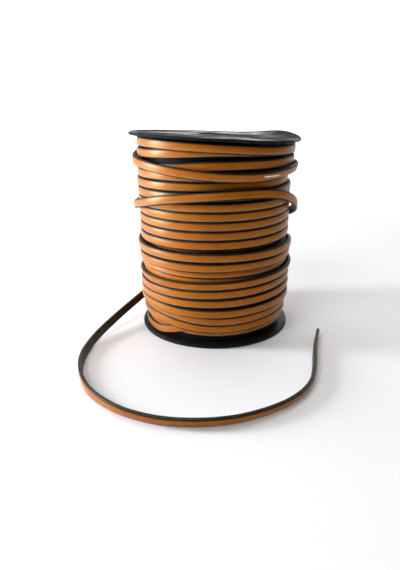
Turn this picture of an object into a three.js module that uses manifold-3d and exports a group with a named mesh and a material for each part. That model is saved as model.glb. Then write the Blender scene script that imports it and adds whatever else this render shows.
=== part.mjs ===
// Spool of flat lace with a loose end, in millimetres, +Z up.
// The origin is on the surface it stands on, under the middle of the spool.
// The front of the object faces -Y. Angles round the spool are in degrees,
// 0 at the front, 90 at +X, 180 at the back, 270 at -X.

import * as THREE from 'three';
import { mergeVertices } from 'three/addons/utils/BufferGeometryUtils.js';
import Module from 'manifold-3d';

const wasm = await Module();
wasm.setup();

// Flat lace
const LACE_WIDTH = 5;
const LACE_THICKNESS = 2;
const LACE_CHAMFER = 0.35;

// Space left between two pieces that touch in the real object
const GAP = 0.3;

// Spool
const SEGMENTS = 64;
const BASE_RADIUS = 45.9;
const BASE_THICKNESS = 2.4;
const TOP_RADIUS = 49.7;
const TOP_THICKNESS = 1.6;
const TOP_UNDERSIDE = 113.9;
const TOP_SLOPE_X = -0.0372;
const TOP_SLOPE_Y = -0.0201;
// Places where the rim of the top flange is bent up or down
const RIM_BENDS = [
  { angle: 122, spread: 26, power: 2, lift: 2.8 },
  { angle: 40, spread: 30, power: 2, lift: -0.7 },
];
const SPINDLE_RADIUS = 10;
const BARREL_RADIUS = 20;
const BARREL_WALL = 2;

// Wound lace: the lines between its turns, from the top down. Each has its
// height at the left, front and right, and the radius of the turn under it.
const TURN_LINES = [
  { left: 109.4, front: 108.5, right: 106.6, radius: 45.6 },
  { left: 103.3, front: 105.8, right: 105.2, radius: 46.2 },
  { left: 99.2, front: 99.8, right: 99.9, radius: 45.9 },
  { left: 93.4, front: 94.5, right: 95.3, radius: 45.7 },
  { left: 87.9, front: 89.7, right: 90.6, radius: 45.4 },
  { left: 82.8, front: 84.0, right: 85.2, radius: 45.2 },
  { left: 77.5, front: 78.3, right: 78.9, radius: 45.1 },
  { left: 72.5, front: 73.2, right: 74.0, radius: 45.0 },
  { left: 67.4, front: 68.0, right: 69.2, radius: 45.0 },
  { left: 62.3, front: 63.0, right: 64.4, radius: 45.0 },
  { left: 57.0, front: 57.8, right: 58.8, radius: 44.9 },
  { left: 50.4, front: 51.5, right: 51.6, radius: 45.9 },
  { left: 45.2, front: 46.1, right: 46.8, radius: 45.7 },
  { left: 39.1, front: 40.4, right: 42.8, radius: 46.0 },
  { left: 33.5, front: 35.1, right: 37.4, radius: 46.0 },
  { left: 28.6, front: 29.9, right: 32.2, radius: 46.0 },
  { left: 23.6, front: 24.3, right: 25.6, radius: 45.8 },
  { left: 18.9, front: 18.5, right: 20.0, radius: 45.3 },
  { left: 14.5, front: 14.0, right: 15.4, radius: 44.4 },
  { left: 9.2, front: 9.4, right: 10.0, radius: 43.3 },
  { left: 3.4, front: 5.6, right: 5.8, radius: 41.0 },
];
const TOP_TURN_RADIUS = 46.3;
const TURN_EDGE = 0.5;
const GROOVE_DEPTH = 0.9;

// Last laps of lace, laid loosely over the others. Each row is a place along
// them: the angle round the spool, the middle height and the outer radius.
const LAP_ROUTE = [
  { angle: -200, height: 107.6, radius: 47.2 },
  { angle: -165, height: 107.5, radius: 47.4 },
  { angle: -130, height: 106.8, radius: 47.6 },
  { angle: -105, height: 104.4, radius: 48.0 },
  { angle: -85, height: 102.9, radius: 48.2 },
  { angle: -60, height: 100.9, radius: 48.5 },
  { angle: -35, height: 99.3, radius: 48.6 },
  { angle: 0, height: 97.3, radius: 48.7 },
  { angle: 30, height: 96.6, radius: 49.1 },
  { angle: 60, height: 98.0, radius: 49.0 },
  { angle: 90, height: 98.6, radius: 48.4 },
  { angle: 120, height: 97.0, radius: 48.2 },
  { angle: 150, height: 93.0, radius: 47.9 },
  { angle: 180, height: 87.5, radius: 47.8 },
  { angle: 210, height: 81.8, radius: 48.0 },
  { angle: 240, height: 77.2, radius: 48.4 },
  { angle: 270, height: 75.2, radius: 48.5 },
  { angle: 300, height: 80.3, radius: 48.5 },
  { angle: 330, height: 85.1, radius: 48.3 },
  { angle: 360, height: 87.1, radius: 48.2 },
  { angle: 385, height: 87.1, radius: 48.5 },
  { angle: 405, height: 85.7, radius: 49.0 },
  { angle: 420, height: 82.9, radius: 49.4 },
  { angle: 440, height: 76.0, radius: 49.6 },
  { angle: 460, height: 69.5, radius: 49.2 },
  { angle: 480, height: 64.6, radius: 48.6 },
  { angle: 505, height: 60.8, radius: 47.8 },
  { angle: 540, height: 57.6, radius: 47.4 },
  { angle: 580, height: 55.4, radius: 47.1 },
  { angle: 630, height: 53.5, radius: 46.9 },
  { angle: 675, height: 53.3, radius: 46.9 },
  { angle: 720, height: 53.8, radius: 46.9 },
  { angle: 765, height: 53.8, radius: 46.9 },
  { angle: 810, height: 53.2, radius: 46.9 },
  { angle: 835, height: 49.2, radius: 47.3 },
  { angle: 860, height: 42.6, radius: 47.8 },
  { angle: 885, height: 34.9, radius: 48.0 },
  { angle: 910, height: 27.2, radius: 48.2 },
  { angle: 935, height: 20.5, radius: 48.2 },
  { angle: 960, height: 15.4, radius: 48.2 },
];
const LAP_STEPS = 104;
const LAP_DEPTH = 6;

// Loose end: the middle of the lace from where it leaves the winding, and how
// far its upper edge leans outward, in degrees. Its height is kept so that it
// lies on the surface.
const LOOSE_ROUTE = [
  { x: -41.03, y: 23.37, z: 15.3, lean: 0 },
  { x: -48.8, y: 8.8, z: 12.1, lean: 1 },
  { x: -56.6, y: -6.4, z: 9.1, lean: 4 },
  { x: -63.3, y: -19.8, z: 6.2, lean: 8 },
  { x: -68.2, y: -31, z: 4, lean: 11 },
  { x: -71.2, y: -43.4, z: 2.9, lean: 14 },
  { x: -72.2, y: -57, z: 2.75, lean: 14 },
  { x: -70.6, y: -71.3, z: 2.7, lean: 10 },
  { x: -66.3, y: -84.4, z: 2.65, lean: 4 },
  { x: -59.6, y: -96.4, z: 2.6, lean: 3 },
  { x: -49.2, y: -107.2, z: 2.65, lean: 9 },
  { x: -37.9, y: -114.8, z: 2.7, lean: 15 },
  { x: -22.9, y: -120.2, z: 2.75, lean: 19 },
  { x: -6.6, y: -121.5, z: 2.75, lean: 20 },
  { x: 8.5, y: -119.3, z: 2.75, lean: 20 },
  { x: 22, y: -113.7, z: 2.75, lean: 20 },
  { x: 33.6, y: -106, z: 2.75, lean: 19 },
  { x: 42.4, y: -96.6, z: 2.75, lean: 16 },
  { x: 48.3, y: -85.6, z: 2.7, lean: 13 },
  { x: 52.3, y: -71.5, z: 2.7, lean: 10 },
  { x: 55.3, y: -56, z: 2.65, lean: 8 },
  { x: 58.4, y: -41.5, z: 2.65, lean: 7 },
  { x: 61.8, y: -28.7, z: 2.65, lean: 6 },
];
const LOOSE_STEPS = 72;

const BLACK_PLASTIC = { color: 0x1c1c1c, roughness: 0.35, metalness: 0 };
const TAN_LEATHER = { color: 0xb8691f, roughness: 0.45, metalness: 0 };

const object = new THREE.Group();
object.name = 'lace_spool';

// Closed geometry with shared corners and smooth normals
function finish(geometry) {
  geometry.deleteAttribute('normal');
  geometry.deleteAttribute('uv');
  const closed = mergeVertices(geometry, 1e-4);
  closed.computeVertexNormals();
  return closed;
}

function addPiece(name, geometry, look) {
  const mesh = new THREE.Mesh(geometry, new THREE.MeshStandardMaterial(look));
  mesh.name = name;
  object.add(mesh);
}

// Body of revolution about +Z from a closed outline of [radius, height],
// listed counterclockwise as seen with the axis on the left
function turned(outline) {
  const points = outline.map(([radius, height]) => new THREE.Vector2(radius, height));
  points.push(points[0].clone());
  const geometry = new THREE.LatheGeometry(points, SEGMENTS);
  geometry.rotateX(Math.PI / 2);
  return finish(geometry);
}

// Moves every corner of a geometry by the given rule
function reshape(geometry, rule) {
  const position = geometry.attributes.position;
  const corner = new THREE.Vector3();
  for (let i = 0; i < position.count; i += 1) {
    corner.fromBufferAttribute(position, i);
    rule(corner);
    position.setXYZ(i, corner.x, corner.y, corner.z);
  }
  geometry.computeVertexNormals();
  return geometry;
}

// How far the rim of the top flange is bent at a place in the plan
function rimBend(x, y) {
  const angle = THREE.MathUtils.radToDeg(Math.atan2(x, -y));
  const outward = Math.max(0, (Math.hypot(x, y) - BARREL_RADIUS) / (TOP_RADIUS - BARREL_RADIUS));
  let lift = 0;
  for (const bend of RIM_BENDS) {
    const beside = Math.abs((angle - bend.angle) / bend.spread);
    lift += bend.lift * Math.exp(-(beside ** bend.power)) * outward ** 3;
  }
  return lift;
}

// Underside of the tilted and bent top flange at a place in the plan
function flangeUnderside(x, y) {
  return TOP_UNDERSIDE + TOP_SLOPE_X * x + TOP_SLOPE_Y * y + rimBend(x, y);
}

// Smooth curve through the points of a route
function smoothRoute(points) {
  return new THREE.CatmullRomCurve3(points, false, 'centripetal');
}

// Flat lace section with chamfered corners: x across its thickness, y across
// its width, listed counterclockwise
function laceSection(inner, outer) {
  const half = LACE_WIDTH / 2;
  const c = LACE_CHAMFER;
  const section = new THREE.Shape();
  section.moveTo(inner + c, -half);
  section.lineTo(outer - c, -half);
  section.lineTo(outer, -half + c);
  section.lineTo(outer, half - c);
  section.lineTo(outer - c, half);
  section.lineTo(inner + c, half);
  section.lineTo(inner, half - c);
  section.lineTo(inner, -half + c);
  return section;
}

// Lace of the given section, extruded straight and then laid along a route,
// its far end first. place(t) gives the middle, the outward direction and the
// upward direction.
function laidLace(section, steps, place) {
  const straight = new THREE.ExtrudeGeometry(section, { depth: 1, steps, bevelEnabled: false });
  return reshape(finish(straight), (corner) => {
    const frame = place(Math.min(1, Math.max(0, 1 - corner.z)));
    const across = corner.x;
    const up = corner.y;
    corner.copy(frame.middle);
    corner.addScaledVector(frame.outward, across);
    corner.addScaledVector(frame.upward, up);
  });
}

function toManifold(geometry) {
  return new wasm.Manifold(new wasm.Mesh({
    numProp: 3,
    vertProperties: Float32Array.from(geometry.attributes.position.array),
    triVerts: Uint32Array.from(geometry.index.array),
  }));
}

function fromManifold(solid) {
  const mesh = solid.getMesh();
  const geometry = new THREE.BufferGeometry();
  geometry.setAttribute('position', new THREE.BufferAttribute(mesh.vertProperties, 3));
  geometry.setIndex(new THREE.BufferAttribute(mesh.triVerts, 1));
  geometry.computeVertexNormals();
  return geometry;
}

// Bottom flange, with the hole for a spindle
const baseFlange = turned([
  [SPINDLE_RADIUS, 0],
  [BASE_RADIUS - 0.6, 0],
  [BASE_RADIUS, 0.6],
  [BASE_RADIUS, BASE_THICKNESS - 0.8],
  [BASE_RADIUS - 0.8, BASE_THICKNESS],
  [SPINDLE_RADIUS, BASE_THICKNESS],
]);
addPiece('spool_base_flange', baseFlange, BLACK_PLASTIC);

// Top flange, tilted and bent
const topFlange = turned([
  [SPINDLE_RADIUS, 0],
  [BARREL_RADIUS, 0],
  [35, 0],
  [43, 0],
  [TOP_RADIUS - 0.4, 0],
  [TOP_RADIUS, 0.4],
  [TOP_RADIUS, TOP_THICKNESS - 0.4],
  [TOP_RADIUS - 0.4, TOP_THICKNESS],
  [43, TOP_THICKNESS],
  [35, TOP_THICKNESS],
  [BARREL_RADIUS, TOP_THICKNESS],
  [SPINDLE_RADIUS, TOP_THICKNESS],
]);
reshape(topFlange, (corner) => {
  corner.z += flangeUnderside(corner.x, corner.y);
});
addPiece('spool_top_flange', topFlange, BLACK_PLASTIC);

// Barrel between the flanges
const barrel = turned([
  [BARREL_RADIUS - BARREL_WALL, 0],
  [BARREL_RADIUS, 0],
  [BARREL_RADIUS, 1],
  [BARREL_RADIUS - BARREL_WALL, 1],
]);
reshape(barrel, (corner) => {
  const bottom = BASE_THICKNESS + GAP;
  const top = flangeUnderside(corner.x, corner.y) - GAP;
  corner.z = corner.z > 0.5 ? top : bottom;
});
addPiece('spool_barrel', barrel, BLACK_PLASTIC);

// Wound lace: rows of corners from the top down, one set for each turn line.
// Its top follows the flange where that dips, and stays level where it lifts.
function lineHeight(line, angle) {
  const side = Math.sin(angle);
  const middle = (line.left + line.right) / 2;
  return line.front + side * (line.right - line.left) / 2 + side * side * (middle - line.front);
}

const windingRows = [];
windingRows.push({ radius: TOP_TURN_RADIUS - 0.5, height: () => null });
windingRows.push({ radius: TOP_TURN_RADIUS, height: () => null, drop: TURN_EDGE });
TURN_LINES.forEach((line, i) => {
  const above = i === 0 ? TOP_TURN_RADIUS : TURN_LINES[i - 1].radius;
  const groove = Math.min(above, line.radius) - GROOVE_DEPTH;
  windingRows.push({ radius: above, height: (angle) => lineHeight(line, angle) + TURN_EDGE });
  windingRows.push({ radius: groove, height: (angle) => lineHeight(line, angle) });
  windingRows.push({ radius: line.radius, height: (angle) => lineHeight(line, angle) - TURN_EDGE });
});
const LOWEST = BASE_THICKNESS + GAP;
windingRows.push({ radius: 41, height: () => LOWEST });

const windingOutline = windingRows.map((row, i) => [row.radius, -i]);
windingOutline.push([BARREL_RADIUS + GAP, -windingRows.length]);
windingOutline.push([BARREL_RADIUS + GAP, 1]);
const winding = turned(windingOutline.reverse());
reshape(winding, (corner) => {
  const index = Math.round(-corner.z);
  const lift = Math.max(0, rimBend(corner.x, corner.y));
  const top = flangeUnderside(corner.x, corner.y) - lift - GAP;
  if (index < 0) {
    corner.z = top;
  } else if (index >= windingRows.length) {
    corner.z = LOWEST;
  } else {
    const row = windingRows[index];
    const height = row.height(Math.atan2(corner.x, -corner.y));
    corner.z = height === null ? top - (row.drop ?? 0) : height;
  }
});

const lapPoints = LAP_ROUTE.map(({ angle, height, radius }) => new THREE.Vector3(angle, height, radius));
const lapCurve = smoothRoute(lapPoints);
const lapAt = (t) => {
  const spot = lapCurve.getPoint(t);
  const angle = THREE.MathUtils.degToRad(spot.x);
  return new THREE.Vector3(spot.z * Math.sin(angle), -spot.z * Math.cos(angle), spot.y);
};
const lap = laidLace(laceSection(-LAP_DEPTH, 0), LAP_STEPS, (t) => {
  const middle = lapAt(t);
  const travel = lapAt(Math.min(1, t + 0.002)).sub(lapAt(Math.max(0, t - 0.002))).normalize();
  const outward = new THREE.Vector3(middle.x, middle.y, 0).normalize();
  outward.addScaledVector(travel, -outward.dot(travel)).normalize();
  const upward = new THREE.Vector3().crossVectors(outward, travel);
  return { middle, outward, upward };
});
const wound = toManifold(winding).add(toManifold(lap));
addPiece('wound_lace', fromManifold(wound), TAN_LEATHER);

// Loose end of the lace
const loosePoints = LOOSE_ROUTE.map(({ x, y, z }) => new THREE.Vector3(x, y, z));
const looseCurve = smoothRoute(loosePoints);
const loose = laidLace(laceSection(-LACE_THICKNESS / 2, LACE_THICKNESS / 2), LOOSE_STEPS, (t) => {
  const middle = looseCurve.getPoint(t);
  const travel = looseCurve.getTangent(t);
  const place = t * (LOOSE_ROUTE.length - 1);
  const first = Math.min(Math.floor(place), LOOSE_ROUTE.length - 2);
  const share = place - first;
  const degrees = LOOSE_ROUTE[first].lean * (1 - share) + LOOSE_ROUTE[first + 1].lean * share;
  const lean = THREE.MathUtils.degToRad(degrees);
  const flatOut = new THREE.Vector3().crossVectors(travel, new THREE.Vector3(0, 0, 1)).normalize();
  const flatUp = new THREE.Vector3().crossVectors(flatOut, travel);
  const upward = flatUp.clone().multiplyScalar(Math.cos(lean)).addScaledVector(flatOut, Math.sin(lean));
  const outward = flatOut.clone().multiplyScalar(Math.cos(lean)).addScaledVector(flatUp, -Math.sin(lean));
  return { middle, outward, upward };
});
addPiece('loose_end', loose, TAN_LEATHER);

export default object;
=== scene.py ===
import math

import bpy
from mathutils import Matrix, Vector


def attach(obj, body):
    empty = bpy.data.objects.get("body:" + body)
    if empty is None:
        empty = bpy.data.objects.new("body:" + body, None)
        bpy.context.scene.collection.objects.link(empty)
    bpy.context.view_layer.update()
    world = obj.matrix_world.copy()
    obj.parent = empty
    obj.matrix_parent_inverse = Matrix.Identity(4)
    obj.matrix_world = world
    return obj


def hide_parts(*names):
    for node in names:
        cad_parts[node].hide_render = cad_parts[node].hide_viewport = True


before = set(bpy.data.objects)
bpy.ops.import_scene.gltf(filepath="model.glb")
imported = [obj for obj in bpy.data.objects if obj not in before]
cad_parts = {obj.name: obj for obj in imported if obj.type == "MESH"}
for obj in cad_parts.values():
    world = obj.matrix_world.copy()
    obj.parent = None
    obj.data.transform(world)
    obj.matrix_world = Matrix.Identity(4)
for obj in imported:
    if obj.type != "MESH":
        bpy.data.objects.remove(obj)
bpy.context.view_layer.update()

MM = 0.001

# Camera, placed where the photograph was taken from: metres, degrees and, for
# the lens, mm. The shift is a share of the frame's longer side.
CAMERA_PLACE = (0.0, -0.3124, 0.1344)
CAMERA_DOWN = 19.72
CAMERA_LENS = 32.72
CAMERA_SHIFT_X = -0.0261

# Flat lace, in mm
LACE_WIDTH = 5.0
LACE_THICKNESS = 2.0
LACE_ROUNDING = 0.4
LACE_CROWN = 0.38

# Tan part of the lace's outer face: its middle and its reach to each side, as
# shares of half the width, and how sharply it meets the black dye
TAN_MIDDLE = 0.05
TAN_REACH = 0.77
TAN_SHARPNESS = 9
DYE_WANDER = 0.09
# Where the outer face starts, as a share of half the thickness
FACE_START = 0.72
FACE_SHARPNESS = 8
# Length along the lace counts this much in the leather's pattern, which draws
# the pattern out into streaks
STREAK_STRETCH = 0.12

# Pale mark on the front of the lace: x and z of its middle and half its size in
# metres, how sharply it ends each way, and the y that it stays in front of
PALE_MARK_MIDDLE = (0.030, 0.0966)
PALE_MARK_HALF = (0.0051, 0.00048)
PALE_MARK_SHARPNESS = (500, 4000)
PALE_MARK_BEHIND = -0.03

# Spool, in mm. The slopes tilt the top flange: its rise per mm to the right and
# to the back. A rounding gives how far it reaches in from a corner, and how far
# in its middle point lies.
SPINDLE_RADIUS = 10
BARREL_RADIUS = 20
BASE_RADIUS = 45.9
BASE_THICKNESS = 2.4
BASE_LOWER_ROUNDING = (0.6, 0.18)
BASE_UPPER_ROUNDING = (0.8, 0.23)
TOP_RADIUS = 49.7
TOP_THICKNESS = 1.6
TOP_ROUNDING = (0.5, 0.15)
TOP_UNDERSIDE = 113.9
TOP_SLOPE_X = -0.0372
TOP_SLOPE_Y = -0.0201
TOP_RIM_WIDTH = 1.4
TOP_HUB_RADIUS = 14.0
TOP_HUB_SLOPE = 0.4
TOP_DISH = 0.3
# Rings of points between barrel and rim, which let the top flange bend
TOP_RINGS = (30.0, 38.0, 44.0)
# Bends of its rim: where and how wide in degrees round the spool, and the lift
RIM_BENDS = [
    dict(angle=122, spread=26, lift=2.8),
    dict(angle=40, spread=30, lift=-0.7),
]

# Core of the winding, behind the turns: radius and height in mm. It is plain black, painted shade standing
# in for the deeper layers of lace
CORE_OUTLINE = [(20.3, 2.9), (40.4, 2.9), (40.9, 8.0), (40.9, 110.5), (20.3, 110.5)]

# Angles go round the spool in degrees, from the front to the right. Each turn
# of lace gives its height at these five places.
TURN_ANGLES = dict(left=-90, left_front=-45, front=0, right_front=45, right=90)

# Where the lowest turn comes out of the layers underneath
WINDING_START = dict(angle=-190.0, height=9.2, out=41.2)

# Turns of lace that show, from the bottom up: the height of the middle of the
# lace at five places round the front, and the radius of its outer face at the
# left, front and right, all in mm. A lean tips its upper edge outward, in degrees.
TURNS = [
    dict(left=9.3, left_front=9.2, front=8.5, right_front=8.9, right=8.6, out=(42.2, 42.8, 42.8)),
    dict(left=13.6, left_front=13.3, front=11.2, right_front=12.2, right=12.7, out=(44.6, 44.4, 44.2)),
    dict(left=19.0, left_front=18.6, front=16.1, right_front=17.1, right=18.3, out=(44.8, 45.1, 44.4)),
    dict(left=21.6, left_front=21.0, front=20.9, right_front=22.0, right=22.4, out=(45.9, 45.9, 45.9)),
    dict(left=26.1, left_front=26.2, front=27.1, right_front=28.2, right=29.0, out=(46.1, 46.0, 46.0)),
    dict(left=30.9, left_front=31.2, front=32.5, right_front=33.8, right=34.8, out=(46.1, 46.0, 46.0)),
    dict(left=36.0, left_front=36.3, front=37.6, right_front=39.0, right=40.2, out=(46.0, 46.3, 46.9),
         lean=14),
    dict(left=43.7, left_front=43.8, front=44.0, right_front=44.5, right=45.0, out=(45.1, 44.2, 44.2),
         lean=-12),
    dict(left=46.9, left_front=47.3, front=48.0, right_front=48.4, right=48.8, out=(46.0, 46.1, 45.9)),
    dict(left=51.6, left_front=52.0, front=52.6, right_front=53.2, right=53.8, out=(44.6, 42.8, 43.8)),
    dict(left=59.4, left_front=59.6, front=60.4, right_front=61.0, right=61.8, out=(45.2, 45.1, 44.7)),
    dict(left=64.7, left_front=64.9, front=65.5, right_front=66.1, right=67.0, out=(45.2, 45.1, 44.7)),
    dict(left=69.8, left_front=70.1, front=70.6, right_front=71.2, right=72.1, out=(45.2, 45.1, 44.7)),
    dict(left=74.9, left_front=75.2, front=75.7, right_front=76.1, right=76.8, out=(45.3, 45.1, 44.7)),
    dict(left=79.9, left_front=80.2, front=80.8, right_front=81.0, right=81.5, out=(45.4, 45.2, 44.8)),
    dict(left=84.9, left_front=85.4, front=86.4, right_front=86.9, right=87.3, out=(45.6, 45.4, 45.0)),
    dict(left=90.2, left_front=90.6, front=91.6, right_front=91.7, right=92.3, out=(46.0, 43.7, 43.3)),
    dict(left=95.3, left_front=96.1, front=96.6, right_front=96.5, right=96.9, out=(45.3, 45.0, 44.4)),
    dict(left=100.2, left_front=100.0, front=102.3, right_front=102.5, right=102.6, out=(45.0, 46.2, 46.5)),
    dict(left=106.3, left_front=107.3, front=109.1, right_front=108.3, right=107.7, out=(45.4, 44.3, 44.0)),
    dict(left=112.5, left_front=112.4, front=111.2, right_front=108.9, right=108.5, out=(45.2, 46.5, 46.9)),
]

# Last laps, laid loosely over the turns: the angle, counted from the front one
# turn after the top one, the height of the middle of the lace and the radius of
# its outer face in mm, and the outward lean of its upper edge in degrees.
LAPS = [
    dict(angle=-240, height=107.8, out=47.0),
    dict(angle=-200, height=107.6, out=47.2),
    dict(angle=-165, height=107.5, out=47.4),
    dict(angle=-130, height=106.8, out=47.6),
    dict(angle=-105, height=104.4, out=48.0),
    dict(angle=-85, height=102.9, out=48.2),
    dict(angle=-60, height=101.6, out=48.5),
    dict(angle=-35, height=99.9, out=48.6),
    dict(angle=0, lean=4, height=97.3, out=48.7),
    dict(angle=30, lean=18, height=96.6, out=49.1),
    dict(angle=60, lean=22, height=98.0, out=49.0),
    dict(angle=90, lean=6, height=98.6, out=48.4),
    dict(angle=120, height=97.0, out=48.2),
    dict(angle=150, height=93.0, out=47.9),
    dict(angle=180, height=87.5, out=47.8),
    dict(angle=210, height=81.8, out=48.0),
    dict(angle=240, height=77.2, out=48.4),
    dict(angle=270, height=75.2, out=48.5),
    dict(angle=300, height=80.0, out=48.5),
    dict(angle=330, lean=-6, height=84.8, out=48.3),
    dict(angle=360, lean=-18, height=87.2, out=48.2),
    dict(angle=385, lean=-20, height=87.8, out=48.5),
    dict(angle=405, lean=-12, height=86.4, out=49.0),
    dict(angle=420, height=82.9, out=49.4),
    dict(angle=440, height=76.0, out=49.6),
    dict(angle=460, height=69.5, out=49.2),
    dict(angle=480, height=64.6, out=48.6),
    dict(angle=505, height=60.8, out=47.8),
    dict(angle=540, height=57.6, out=47.4),
    dict(angle=580, height=55.4, out=47.1),
    dict(angle=630, height=53.5, out=46.9),
    dict(angle=675, height=53.3, out=46.9),
    dict(angle=720, height=53.8, out=46.9),
    dict(angle=765, height=53.8, out=46.9),
    dict(angle=810, height=53.2, out=46.9),
    dict(angle=835, height=49.2, out=47.3),
    dict(angle=860, height=42.6, out=47.8),
    dict(angle=885, height=34.9, out=48.0),
    dict(angle=910, height=27.2, out=48.2),
    dict(angle=935, height=20.5, out=48.2),
    dict(angle=960.3, height=15.3, out=48.2),
]

# Layer underneath, which shows where the turns part, in mm
UNDER_TURNS = 17
UNDER_FIRST_HEIGHT = 14.5
UNDER_PITCH = 4.75
UNDER_RADIUS = 41.2

# Short stretches from underneath that lie further out. Their columns are those
# of the laps, with the angle counted from the front.
LOWER_STRETCHES = {
    "lace_first_end": [
        dict(angle=-250, height=5.4, out=40.2),
        dict(angle=-200, height=5.3, out=41.3),
        dict(angle=-150, height=5.2, out=41.9),
        dict(angle=-105, height=5.0, out=42.7),
        dict(angle=-75, height=5.0, out=43.5),
        dict(angle=-60, height=5.0, out=43.7),
        dict(angle=-48, height=5.5, out=43.8),
        dict(angle=-36, height=7.7, out=43.7),
        dict(angle=-23, height=10.5, out=43.0),
        dict(angle=-5, height=12.8, out=41.6),
        dict(angle=15, height=13.6, out=41.0),
    ],
    "lace_under_middle": [
        dict(angle=-150, height=41.0, out=42.8),
        dict(angle=-90, height=40.2, out=44.0),
        dict(angle=-45, height=39.5, out=44.1),
        dict(angle=0, height=39.5, out=43.9),
        dict(angle=45, height=40.0, out=43.1),
        dict(angle=90, height=41.0, out=42.6),
        dict(angle=140, height=42.0, out=42.0),
    ],
}

# Degrees between two points of the lace
TURNS_STEP = 6.0
UNDER_STEP = 7.5
STRETCH_STEP = 5.0

# Loose end, from where it leaves the winding: x, y and z of the middle of the
# lace in metres, and the outward lean of its upper edge in degrees.
LOOSE_ROUTE = [
    (-0.04103, 0.02337, 0.0153, 0),
    (-0.0488, 0.0088, 0.0121, 1),
    (-0.0566, -0.0064, 0.0091, 4),
    (-0.0633, -0.0198, 0.0062, 8),
    (-0.0682, -0.031, 0.004, 11),
    (-0.0712, -0.0434, 0.0029, 14),
    (-0.0722, -0.057, 0.00275, 14),
    (-0.0706, -0.0713, 0.0027, 10),
    (-0.0663, -0.0844, 0.00265, 4),
    (-0.0596, -0.0964, 0.0026, 3),
    (-0.0492, -0.1072, 0.00265, 9),
    (-0.0379, -0.1148, 0.0027, 15),
    (-0.0229, -0.1202, 0.00275, 19),
    (-0.0066, -0.1215, 0.00275, 20),
    (0.0085, -0.1193, 0.00275, 20),
    (0.022, -0.1137, 0.00275, 20),
    (0.0336, -0.106, 0.00275, 19),
    (0.0424, -0.0966, 0.00275, 16),
    (0.0483, -0.0856, 0.0027, 13),
    (0.0523, -0.0715, 0.0027, 10),
    (0.0553, -0.056, 0.00265, 8),
    (0.0584, -0.0415, 0.00265, 7),
    (0.0618, -0.0287, 0.00265, 6),
]
LOOSE_STEPS = 180

# Floor and backdrop, in metres. The glow rises between two distances behind the
# object, and the surround gives a faint even light.
FLOOR_HALF_WIDTH = 3.0
FLOOR_FRONT = -1.6
BACKDROP_START = 1.2
BACKDROP_BEND = 0.6
BACKDROP_BEND_STEPS = 12
BACKDROP_TOP = 3.0
GLOW_START = 0.15
GLOW_FULL = 1.1
BACKDROP_GLOW = 0.75
SURROUND_GLOW = 0.10

# Soft lights: place, aim and size of the panel in metres, power in watts
LIGHTS = [
    dict(name="window_left", place=(-0.635, -0.01, 0.18), aim=(0, 0, 0.07),
         size=(0.14, 0.32), power=7.5, colour=(0.92, 0.93, 1.0)),
    dict(name="fill_front", place=(-0.56, -0.82, 0.96), aim=(0, 0, 0.04),
         size=(0.6, 0.5), power=6.8, colour=(1.0, 1.0, 1.0)),
    dict(name="top_soft", place=(0.0, 0.35, 1.2), aim=(0, 0, 0.0),
         size=(1.2, 1.0), power=6.0, colour=(1.0, 1.0, 1.0)),
    dict(name="backdrop_wash", place=(0.0, 0.5, 1.3), aim=(0, 1.7, 0.6),
         size=(1.6, 0.5), power=5.0, colour=(1.0, 1.0, 1.0)),
]


def linear(red, green, blue):
    """A colour given as it looks on a screen, 0 to 255, as shader values."""
    values = []
    for part in (red, green, blue):
        part = part / 255
        values.append(part / 12.92 if part <= 0.04045 else ((part + 0.055) / 1.055) ** 2.4)
    return (*values, 1.0)


# Node helpers

def add_node(tree, kind, **settings):
    """Adds a node and sets its properties."""
    node = tree.nodes.new(kind)
    for key, value in settings.items():
        setattr(node, key, value)
    return node


def math_node(tree, operation, first, second=None, clamp=False):
    """One operation on one or two values, each a number or another node's output."""
    node = add_node(tree, "ShaderNodeMath", operation=operation, use_clamp=clamp)
    for socket, value in zip(node.inputs, (first, second)):
        if value is None:
            continue
        if isinstance(value, (int, float)):
            socket.default_value = value
        else:
            tree.links.new(value, socket)
    return node.outputs[0]


def ramp_node(tree, value, stops):
    """Colour for a value, from stops of (place, colour)."""
    node = add_node(tree, "ShaderNodeValToRGB")
    elements = node.color_ramp.elements
    while len(elements) < len(stops):
        elements.new(0.5)
    for element, (place, colour) in zip(elements, stops):
        element.position = place
        element.color = colour
    tree.links.new(value, node.inputs[0])
    return node.outputs[0]


def noise_node(tree, vector, scale, detail=3.0, roughness=0.5):
    """Soft cloudy pattern from 0 to 1, finer for a larger scale."""
    node = add_node(tree, "ShaderNodeTexNoise")
    node.inputs["Scale"].default_value = scale
    node.inputs["Detail"].default_value = detail
    node.inputs["Roughness"].default_value = roughness
    tree.links.new(vector, node.inputs["Vector"])
    return node.outputs["Fac"]


def mix_colour(tree, factor, first, second):
    """First colour where the factor is 0, second where it is 1."""
    node = add_node(tree, "ShaderNodeMix", data_type="RGBA")
    sockets = (node.inputs[0], node.inputs[6], node.inputs[7])
    for socket, value in zip(sockets, (factor, first, second)):
        if isinstance(value, (int, float, tuple)):
            socket.default_value = value
        else:
            tree.links.new(value, socket)
    return node.outputs[2]


def new_material(name):
    """New material, with its node tree and its shader."""
    material = bpy.data.materials.new(name)
    material.use_nodes = True
    tree = material.node_tree
    shader = tree.nodes["Principled BSDF"]
    return material, tree, shader


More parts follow.
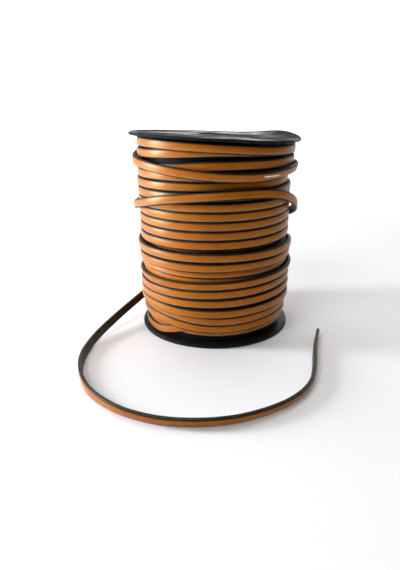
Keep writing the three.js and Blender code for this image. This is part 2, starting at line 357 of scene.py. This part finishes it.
def lace_material():
    """Smooth tan leather on the outer face, black on the edges and the back."""
    material, tree, shader = new_material("tan_lace_black_edges")
    faces = add_node(tree, "ShaderNodeAttribute", attribute_name="lace_faces").outputs["Vector"]
    split = add_node(tree, "ShaderNodeSeparateXYZ")
    tree.links.new(faces, split.inputs[0])
    across, outward = split.outputs[0], split.outputs[1]
    along = add_node(tree, "ShaderNodeAttribute", attribute_name="lace_along").outputs["Fac"]
    place = add_node(tree, "ShaderNodeTexCoord").outputs["Object"]

    # place on the lace in metres: along its length, drawn out, and across its face
    lane = add_node(tree, "ShaderNodeCombineXYZ")
    tree.links.new(math_node(tree, "MULTIPLY", along, STREAK_STRETCH), lane.inputs[0])
    tree.links.new(math_node(tree, "MULTIPLY", across, LACE_WIDTH / 2 * MM), lane.inputs[1])
    lane = lane.outputs[0]

    # the dye line wanders a little along each edge
    wander = noise_node(tree, place, 260, 2.0)
    wander = math_node(tree, "MULTIPLY", math_node(tree, "SUBTRACT", wander, 0.5), DYE_WANDER)
    centred = math_node(tree, "SUBTRACT", across, TAN_MIDDLE)
    reach = math_node(tree, "ADD", math_node(tree, "ABSOLUTE", centred), wander)
    inside = math_node(tree, "SUBTRACT", TAN_REACH, reach)
    inside = math_node(tree, "MULTIPLY", inside, TAN_SHARPNESS, True)
    face = math_node(tree, "SUBTRACT", outward, FACE_START)
    face = math_node(tree, "MULTIPLY", face, FACE_SHARPNESS, True)
    mask = math_node(tree, "MULTIPLY", inside, face)

    # tan colour: long soft streaks and wide soft patches
    streak = noise_node(tree, lane, 1500, 3.0, 0.6)
    patch = noise_node(tree, place, 38, 2.0)
    streak = math_node(tree, "MULTIPLY", streak, 0.55)
    patch = math_node(tree, "MULTIPLY", patch, 0.45)
    tone = math_node(tree, "ADD", streak, patch)
    tan = ramp_node(tree, tone, [
        (0.30, linear(148, 77, 0)),
        (0.50, linear(170, 92, 0)),
        (0.72, linear(190, 108, 4)),
    ])
    # painted shade: a darker tone near the edges of the tan face, where it rounds into the shaded gaps
    # between turns
    edge = math_node(tree, "POWER", math_node(tree, "ABSOLUTE", across), 4)
    edge = math_node(tree, "MULTIPLY", edge, 1.3, True)
    tan = mix_colour(tree, edge, tan, linear(84, 40, 5))
    # painted sheen: the face is painted paler towards its upper edge, where it catches light from above
    painted_upper_sheen = math_node(tree, "MULTIPLY", math_node(tree, "SUBTRACT", across, 0.15), 1.6, True)
    painted_upper_sheen = math_node(tree, "MULTIPLY", math_node(tree, "POWER", painted_upper_sheen, 1.6), 0.5)
    tan = mix_colour(tree, painted_upper_sheen, tan, linear(178, 138, 104))
    # one short pale mark on the upper loose lap, right of the front
    spot = add_node(tree, "ShaderNodeSeparateXYZ")
    tree.links.new(place, spot.inputs[0])
    pale_mark = math_node(tree, "LESS_THAN", spot.outputs[1], PALE_MARK_BEHIND)
    for axis, middle, half, sharp in zip((0, 2), PALE_MARK_MIDDLE, PALE_MARK_HALF, PALE_MARK_SHARPNESS):
        beside = math_node(tree, "SUBTRACT", spot.outputs[axis], middle)
        beside = math_node(tree, "ABSOLUTE", beside)
        near = math_node(tree, "SUBTRACT", half, beside)
        near = math_node(tree, "MULTIPLY", near, sharp, True)
        pale_mark = math_node(tree, "MULTIPLY", pale_mark, near)
    tan = mix_colour(tree, pale_mark, tan, linear(250, 244, 236))
    black = ramp_node(tree, noise_node(tree, place, 420, 3.0), [
        (0.35, linear(9, 8, 8)),
        (0.75, linear(24, 22, 21)),
    ])
    tree.links.new(mix_colour(tree, mask, black, tan), shader.inputs["Base Color"])

    # the tan face is glossier than the dyed edges and back
    gloss = ramp_node(tree, noise_node(tree, place, 95, 3.0), [
        (0.3, (0.32, 0.32, 0.32, 1)),
        (0.7, (0.43, 0.43, 0.43, 1)),
    ])
    rough = mix_colour(tree, mask, (0.5, 0.5, 0.5, 1), gloss)
    tree.links.new(rough, shader.inputs["Roughness"])

    # fine grain and shallow creases along the lace
    grain = noise_node(tree, place, 1600, 2.0, 0.6)
    crease = noise_node(tree, lane, 900, 2.0, 0.5)
    height = math_node(tree, "ADD", math_node(tree, "MULTIPLY", grain, 0.4), crease)
    bump = add_node(tree, "ShaderNodeBump")
    bump.inputs["Strength"].default_value = 0.12
    bump.inputs["Distance"].default_value = 0.0003
    tree.links.new(height, bump.inputs["Height"])
    tree.links.new(bump.outputs[0], shader.inputs["Normal"])
    shader.inputs["Specular IOR Level"].default_value = 0.36
    shader.inputs["Specular Tint"].default_value = (1.0, 0.94, 0.52, 1.0)
    return material


def plastic_material(name, smooth, rough, dark, light):
    """Black moulded plastic, smoother in some patches and scuffed in others."""
    material, tree, shader = new_material(name)
    place = add_node(tree, "ShaderNodeTexCoord").outputs["Object"]
    cloud = noise_node(tree, place, 55, 4.0, 0.6)
    tree.links.new(ramp_node(tree, cloud, [(0.35, dark), (0.75, light)]), shader.inputs["Base Color"])
    patches = noise_node(tree, place, 40, 3.0, 0.55)
    gloss = ramp_node(tree, patches, [
        (0.42, (rough, rough, rough, 1)),
        (0.60, (smooth, smooth, smooth, 1)),
    ])
    tree.links.new(gloss, shader.inputs["Roughness"])
    bump = add_node(tree, "ShaderNodeBump")
    bump.inputs["Strength"].default_value = 0.08
    bump.inputs["Distance"].default_value = 0.0004
    tree.links.new(noise_node(tree, place, 140, 3.0), bump.inputs["Height"])
    tree.links.new(bump.outputs[0], shader.inputs["Normal"])
    shader.inputs["Specular IOR Level"].default_value = 0.12
    return material


def floor_material():
    """Pale matt floor, whose part far behind the object glows evenly."""
    material, tree, shader = new_material("pale_floor")
    place = add_node(tree, "ShaderNodeTexCoord").outputs["Object"]
    cloud = noise_node(tree, place, 3, 2.0)
    tone = ramp_node(tree, cloud, [(0.3, (0.86, 0.86, 0.86, 1)), (0.7, (0.89, 0.89, 0.89, 1))])
    tree.links.new(tone, shader.inputs["Base Color"])
    shader.inputs["Roughness"].default_value = 0.7
    split = add_node(tree, "ShaderNodeSeparateXYZ")
    tree.links.new(place, split.inputs[0])
    far = add_node(tree, "ShaderNodeMapRange", interpolation_type="SMOOTHSTEP")
    far.inputs["From Min"].default_value = GLOW_START
    far.inputs["From Max"].default_value = GLOW_FULL
    far.inputs["To Max"].default_value = BACKDROP_GLOW
    tree.links.new(split.outputs[1], far.inputs["Value"])
    shader.inputs["Emission Color"].default_value = (1.0, 1.0, 1.0, 1.0)
    tree.links.new(far.outputs[0], shader.inputs["Emission Strength"])
    return material


# Camera

camera_data = bpy.data.cameras.new("camera")
camera_data.lens = CAMERA_LENS
camera_data.shift_x = CAMERA_SHIFT_X
camera_data.clip_start = 0.01
camera = bpy.data.objects.new("camera", camera_data)
camera.location = CAMERA_PLACE
camera.rotation_euler = (math.radians(90 - CAMERA_DOWN), 0, 0)
bpy.context.scene.collection.objects.link(camera)
bpy.context.scene.camera = camera


# Lace

def lace_tree():
    """Geometry Nodes: sweeps a rounded flat section along a line of points.
    Each point's lean turns the section about the line."""
    tree = bpy.data.node_groups.new("lace_along_line", "GeometryNodeTree")
    add_socket = tree.interface.new_socket
    add_socket("Geometry", in_out="INPUT", socket_type="NodeSocketGeometry")
    for label in ("Width", "Thickness", "Rounding", "Crown"):
        add_socket(label, in_out="INPUT", socket_type="NodeSocketFloat")
    add_socket("Material", in_out="INPUT", socket_type="NodeSocketMaterial")
    add_socket("Geometry", in_out="OUTPUT", socket_type="NodeSocketGeometry")
    link = tree.links.new
    start = add_node(tree, "NodeGroupInput")
    end = add_node(tree, "NodeGroupOutput")

    line = add_node(tree, "GeometryNodeMeshToCurve")
    link(start.outputs["Geometry"], line.inputs["Mesh"])
    upright = add_node(tree, "GeometryNodeSetCurveNormal", mode="Z_UP")
    link(line.outputs[0], upright.inputs["Curve"])
    lean = add_node(tree, "GeometryNodeInputNamedAttribute", data_type="FLOAT")
    lean.inputs["Name"].default_value = "lean"
    turned = add_node(tree, "GeometryNodeSetCurveTilt")
    link(upright.outputs[0], turned.inputs["Curve"])
    link(lean.outputs["Attribute"], turned.inputs["Tilt"])
    length = add_node(tree, "GeometryNodeSplineParameter")
    store = "GeometryNodeStoreNamedAttribute"
    keep_length = add_node(tree, store, data_type="FLOAT", domain="POINT")
    keep_length.inputs["Name"].default_value = "lace_along"
    link(turned.outputs[0], keep_length.inputs["Geometry"])
    link(length.outputs["Length"], keep_length.inputs["Value"])

    section = add_node(tree, "GeometryNodeCurvePrimitiveQuadrilateral", mode="RECTANGLE")
    link(start.outputs["Thickness"], section.inputs["Width"])
    link(start.outputs["Width"], section.inputs["Height"])
    rounded = add_node(tree, "GeometryNodeFilletCurve", mode="POLY")
    link(section.outputs[0], rounded.inputs["Curve"])
    rounded.inputs["Count"].default_value = 3
    link(start.outputs["Rounding"], rounded.inputs["Radius"])
    finer = add_node(tree, "GeometryNodeSubdivideCurve")
    finer.inputs["Cuts"].default_value = 3
    link(rounded.outputs[0], finer.inputs["Curve"])

    # place of each section point, from -1 to 1 across the width and thickness
    where = add_node(tree, "GeometryNodeInputPosition")
    split = add_node(tree, "ShaderNodeSeparateXYZ")
    link(where.outputs[0], split.inputs[0])
    half_thickness = math_node(tree, "MULTIPLY", start.outputs["Thickness"], 0.5)
    half_width = math_node(tree, "MULTIPLY", start.outputs["Width"], 0.5)
    outward = math_node(tree, "DIVIDE", split.outputs[0], half_thickness)
    across = math_node(tree, "DIVIDE", split.outputs[1], half_width)
    faces = add_node(tree, "ShaderNodeCombineXYZ")
    link(across, faces.inputs[0])
    link(outward, faces.inputs[1])
    keep_faces = add_node(tree, store, data_type="FLOAT_VECTOR", domain="POINT")
    keep_faces.inputs["Name"].default_value = "lace_faces"
    link(finer.outputs[0], keep_faces.inputs["Geometry"])
    link(faces.outputs[0], keep_faces.inputs["Value"])

    # the outer face is a little crowned, lower towards its edges
    side = math_node(tree, "GREATER_THAN", outward, 0.3)
    fall = math_node(tree, "MULTIPLY", math_node(tree, "MULTIPLY", across, across), side)
    inward = math_node(tree, "MULTIPLY", start.outputs["Crown"], -1.0)
    move = add_node(tree, "ShaderNodeCombineXYZ")
    link(math_node(tree, "MULTIPLY", fall, inward), move.inputs[0])
    crowned = add_node(tree, "GeometryNodeSetPosition")
    link(keep_faces.outputs[0], crowned.inputs["Geometry"])
    link(move.outputs[0], crowned.inputs["Offset"])

    sweep = add_node(tree, "GeometryNodeCurveToMesh")
    link(keep_length.outputs[0], sweep.inputs["Curve"])
    link(crowned.outputs[0], sweep.inputs["Profile Curve"])
    sweep.inputs["Fill Caps"].default_value = True
    real = add_node(tree, "GeometryNodeRealizeInstances")
    link(sweep.outputs[0], real.inputs[0])
    painted = add_node(tree, "GeometryNodeSetMaterial")
    link(real.outputs[0], painted.inputs["Geometry"])
    link(start.outputs["Material"], painted.inputs["Material"])
    link(painted.outputs[0], end.inputs[0])
    return tree


LACE_TREE = lace_tree()
LACE_LOOK = lace_material()


def set_inputs(modifier, values):
    """Sets the modifier's inputs by name."""
    for item in modifier.node_group.interface.items_tree:
        if item.in_out == "INPUT" and item.name in values:
            modifier[item.identifier] = values[item.name]


def lace_piece(name, points, leans):
    """Flat lace along points in metres, as a plain mesh."""
    line = bpy.data.meshes.new(name + "_line")
    line.from_pydata(points, [(i, i + 1) for i in range(len(points) - 1)], [])
    line.attributes.new("lean", "FLOAT", "POINT").data.foreach_set("value", leans)
    maker = bpy.data.objects.new(name + "_maker", line)
    bpy.context.scene.collection.objects.link(maker)
    modifier = maker.modifiers.new("lace", "NODES")
    modifier.node_group = LACE_TREE
    set_inputs(modifier, {
        "Width": LACE_WIDTH * MM,
        "Thickness": LACE_THICKNESS * MM,
        "Rounding": LACE_ROUNDING * MM,
        "Crown": LACE_CROWN * MM,
        "Material": LACE_LOOK,
    })
    bpy.context.view_layer.update()
    made = maker.evaluated_get(bpy.context.evaluated_depsgraph_get())
    mesh = bpy.data.meshes.new_from_object(made)
    mesh.name = name
    bpy.data.objects.remove(maker)
    mesh.shade_smooth()
    piece = bpy.data.objects.new(name, mesh)
    bpy.context.scene.collection.objects.link(piece)
    return piece


def smooth_line(keys, values, at):
    """Smooth curve through values at rising keys, read at one key."""
    last = len(keys) - 1
    i = min(max(sum(key <= at for key in keys) - 1, 0), last - 1)

    def slope(n):
        low, high = max(n - 1, 0), min(n + 1, last)
        return (values[high] - values[low]) / (keys[high] - keys[low])

    span = keys[i + 1] - keys[i]
    t = (at - keys[i]) / span
    rise = values[i + 1] - values[i]
    first = slope(i) * span
    second = slope(i + 1) * span
    bend = 3 * rise - 2 * first - second
    twist = first + second - 2 * rise
    return values[i] + t * (first + t * (bend + t * twist))


def smooth_points(route, count):
    """Points along a smooth curve through the route, evenly spread."""
    keys = [0.0]
    for a, b in zip(route, route[1:]):
        keys.append(keys[-1] + math.dist(a[:3], b[:3]))
    columns = list(zip(*route))
    rows = []
    for n in range(count + 1):
        at = keys[-1] * n / count
        rows.append([smooth_line(keys, column, at) for column in columns])
    return rows


loose = smooth_points(LOOSE_ROUTE, LOOSE_STEPS)
loose_path = [tuple(row[:3]) for row in loose]
loose_lace = lace_piece("loose_lace", loose_path, [math.radians(row[3]) for row in loose])
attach(loose_lace, "root")
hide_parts("loose_end")

# Winding: the turns from the bottom up, then the last laps down over them. At
# the left front and right front, the outer face lies halfway between its
# neighbours.
winding_rows = [WINDING_START]
for number, turn in enumerate(TURNS):
    left, front, right = turn["out"]
    outs = (left, (left + front) / 2, front, (front + right) / 2, right)
    for (place, angle), out in zip(TURN_ANGLES.items(), outs):
        winding_rows.append(dict(
            angle=360.0 * number + angle,
            height=turn[place],
            out=out,
            lean=turn.get("lean", 0.0),
        ))
lap_start = 360.0 * len(TURNS)
for row in LAPS:
    winding_rows.append({**row, "angle": lap_start + row["angle"]})


def winding_points(rows, step):
    """Points of the lace's middle line round the spool in metres, and its leans."""
    keys = [row["angle"] for row in rows]
    heights = [row["height"] for row in rows]
    outs = [row["out"] for row in rows]
    turned = [row.get("lean", 0.0) for row in rows]
    points = []
    leans = []
    steps = int((keys[-1] - keys[0]) / step)
    for n in range(steps + 1):
        at = keys[0] + (keys[-1] - keys[0]) * n / steps
        radius = (smooth_line(keys, outs, at) - LACE_THICKNESS / 2) * MM
        turn = math.radians(at)
        height = smooth_line(keys, heights, at) * MM
        points.append((radius * math.sin(turn), -radius * math.cos(turn), height))
        leans.append(math.radians(smooth_line(keys, turned, at)))
    return points, leans


lace_turns = lace_piece("lace_turns", *winding_points(winding_rows, TURNS_STEP))
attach(lace_turns, "root")
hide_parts("wound_lace")

# Turns of the layer underneath
under_rows = []
for n in range(UNDER_TURNS):
    height = UNDER_FIRST_HEIGHT + n * UNDER_PITCH
    under_rows.append(dict(angle=360.0 * n, height=height, out=UNDER_RADIUS))
lace_under_turns = lace_piece("lace_under_turns", *winding_points(under_rows, UNDER_STEP))
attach(lace_under_turns, "root")
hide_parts("wound_lace")

for stretch_name, stretch_rows in LOWER_STRETCHES.items():
    stretch = lace_piece(stretch_name, *winding_points(stretch_rows, STRETCH_STEP))
    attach(stretch, "root")
    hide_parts("wound_lace")


# Turned pieces

def turned_piece(name, outline, shift, look, segments=144):
    """Body of revolution from a closed outline of (radius, height) in mm."""
    count = len(outline)
    points = []
    faces = []
    for s in range(segments):
        angle = 2 * math.pi * s / segments
        for radius, height in outline:
            x = radius * math.sin(angle)
            y = -radius * math.cos(angle)
            points.append((x * MM, y * MM, (height + shift(x, y)) * MM))
        following = (s + 1) % segments
        for i in range(count):
            j = (i + 1) % count
            faces.append((s * count + i, following * count + i, following * count + j, s * count + j))
    mesh = bpy.data.meshes.new(name)
    mesh.from_pydata(points, [], faces)
    mesh.materials.append(look)
    mesh.shade_smooth()
    mesh.set_sharp_from_angle(angle=math.radians(40))
    piece = bpy.data.objects.new(name, mesh)
    bpy.context.scene.collection.objects.link(piece)
    return piece


def rim_bend(x, y):
    """How far the rim of the top flange is bent at a place in the plan."""
    angle = math.degrees(math.atan2(x, -y))
    outward = max(0.0, (math.hypot(x, y) - BARREL_RADIUS) / (TOP_RADIUS - BARREL_RADIUS))
    lift = 0.0
    for bend in RIM_BENDS:
        beside = (angle - bend["angle"]) / bend["spread"]
        lift += bend["lift"] * math.exp(-beside ** 2) * outward ** 3
    return lift


def flange_underside(x, y):
    """Height of the top flange's underside at a place in the plan, in mm."""
    return TOP_UNDERSIDE + TOP_SLOPE_X * x + TOP_SLOPE_Y * y + rim_bend(x, y)


def level(x, y):
    """No tilt and no bend."""
    return 0.0


def rounded_rim(radius, low, high, lower, upper):
    """Outline round the outer edge of a flange from its underside up, with the
    roundings of its lower and upper corner."""
    return [
        (radius - lower[0], low), (radius - lower[1], low + lower[1]), (radius, low + lower[0]),
        (radius, high - upper[0]), (radius - upper[1], high - upper[1]), (radius - upper[0], high),
    ]


GLOSSY_BLACK = plastic_material(
    "glossy_black_plastic", smooth=0.34, rough=0.50, dark=linear(12, 12, 12), light=linear(28, 27, 25))
WORN_BLACK = plastic_material(
    "worn_black_plastic", smooth=0.22, rough=0.76, dark=linear(12, 12, 12), light=linear(32, 29, 26))
# black plastic for the barrel, also used as painted shade on the winding's core
BLACK_PLASTIC_AND_SHADE = plastic_material(
    "black_plastic_and_painted_shade", smooth=0.45, rough=0.60, dark=linear(18, 18, 18), light=linear(28, 28, 28))

base_outline = [(SPINDLE_RADIUS, 0.0)]
base_outline += rounded_rim(BASE_RADIUS, 0.0, BASE_THICKNESS, BASE_LOWER_ROUNDING, BASE_UPPER_ROUNDING)
base_outline += [(SPINDLE_RADIUS, BASE_THICKNESS)]
base_flange = turned_piece("base_flange", base_outline, level, GLOSSY_BLACK)
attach(base_flange, "root")
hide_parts("spool_base_flange")

# The top flange is dished a little between its rim and its hub
dish_height = TOP_THICKNESS - TOP_DISH
rim_inside = TOP_RADIUS - TOP_RIM_WIDTH
top_outline = [(SPINDLE_RADIUS, 0.0), (BARREL_RADIUS, 0.0)]
top_outline += [(radius, 0.0) for radius in TOP_RINGS]
top_outline += rounded_rim(TOP_RADIUS, 0.0, TOP_THICKNESS, TOP_ROUNDING, TOP_ROUNDING)
top_outline += [(rim_inside, TOP_THICKNESS), (rim_inside - TOP_DISH, dish_height)]
top_outline += [(radius, dish_height) for radius in reversed(TOP_RINGS)]
top_outline += [(TOP_HUB_RADIUS + TOP_HUB_SLOPE, dish_height), (TOP_HUB_RADIUS, TOP_THICKNESS)]
top_outline += [(SPINDLE_RADIUS, TOP_THICKNESS)]
top_flange = turned_piece("top_flange", top_outline, flange_underside, WORN_BLACK)
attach(top_flange, "root")
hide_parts("spool_top_flange")

# painted shade: the core is black where deeper layers of lace lie in shadow
winding_core = turned_piece("winding_core", CORE_OUTLINE, level, BLACK_PLASTIC_AND_SHADE)
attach(winding_core, "root")
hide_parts("wound_lace")

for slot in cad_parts["spool_barrel"].material_slots:
    slot.material = BLACK_PLASTIC_AND_SHADE


# Floor, backdrop and lights

def make_stage():
    """Pale floor that rises into a backdrop far behind the object."""
    profile = [(FLOOR_FRONT, 0.0), (BACKDROP_START, 0.0)]
    for n in range(1, BACKDROP_BEND_STEPS + 1):
        angle = math.pi / 2 * n / BACKDROP_BEND_STEPS
        y = BACKDROP_START + BACKDROP_BEND * math.sin(angle)
        profile.append((y, BACKDROP_BEND - BACKDROP_BEND * math.cos(angle)))
    profile.append((BACKDROP_START + BACKDROP_BEND, BACKDROP_TOP))
    points = []
    for y, z in profile:
        points.append((-FLOOR_HALF_WIDTH, y, z))
        points.append((FLOOR_HALF_WIDTH, y, z))
    faces = [(2 * i, 2 * i + 1, 2 * i + 3, 2 * i + 2) for i in range(len(profile) - 1)]
    mesh = bpy.data.meshes.new("floor")
    mesh.from_pydata(points, [], faces)
    mesh.materials.append(floor_material())
    mesh.shade_smooth()
    floor = bpy.data.objects.new("floor", mesh)
    bpy.context.scene.collection.objects.link(floor)


def add_light(name, place, aim, size, power, colour):
    """Soft rectangular light at a place, turned to its aim."""
    data = bpy.data.lights.new(name, "AREA")
    data.shape = "RECTANGLE"
    data.size, data.size_y = size
    data.energy = power
    data.color = colour
    light = bpy.data.objects.new(name, data)
    light.location = place
    light.rotation_euler = (Vector(aim) - Vector(place)).to_track_quat("-Z", "Y").to_euler()
    bpy.context.scene.collection.objects.link(light)


make_stage()
for light in LIGHTS:
    add_light(**light)

world = bpy.data.worlds.new("studio")
world.use_nodes = True
surround = world.node_tree.nodes["Background"]
surround.inputs["Color"].default_value = (1.0, 1.0, 1.0, 1.0)
surround.inputs["Strength"].default_value = SURROUND_GLOW
bpy.context.scene.world = world
bpy.context.scene.view_settings.view_transform = "Standard"
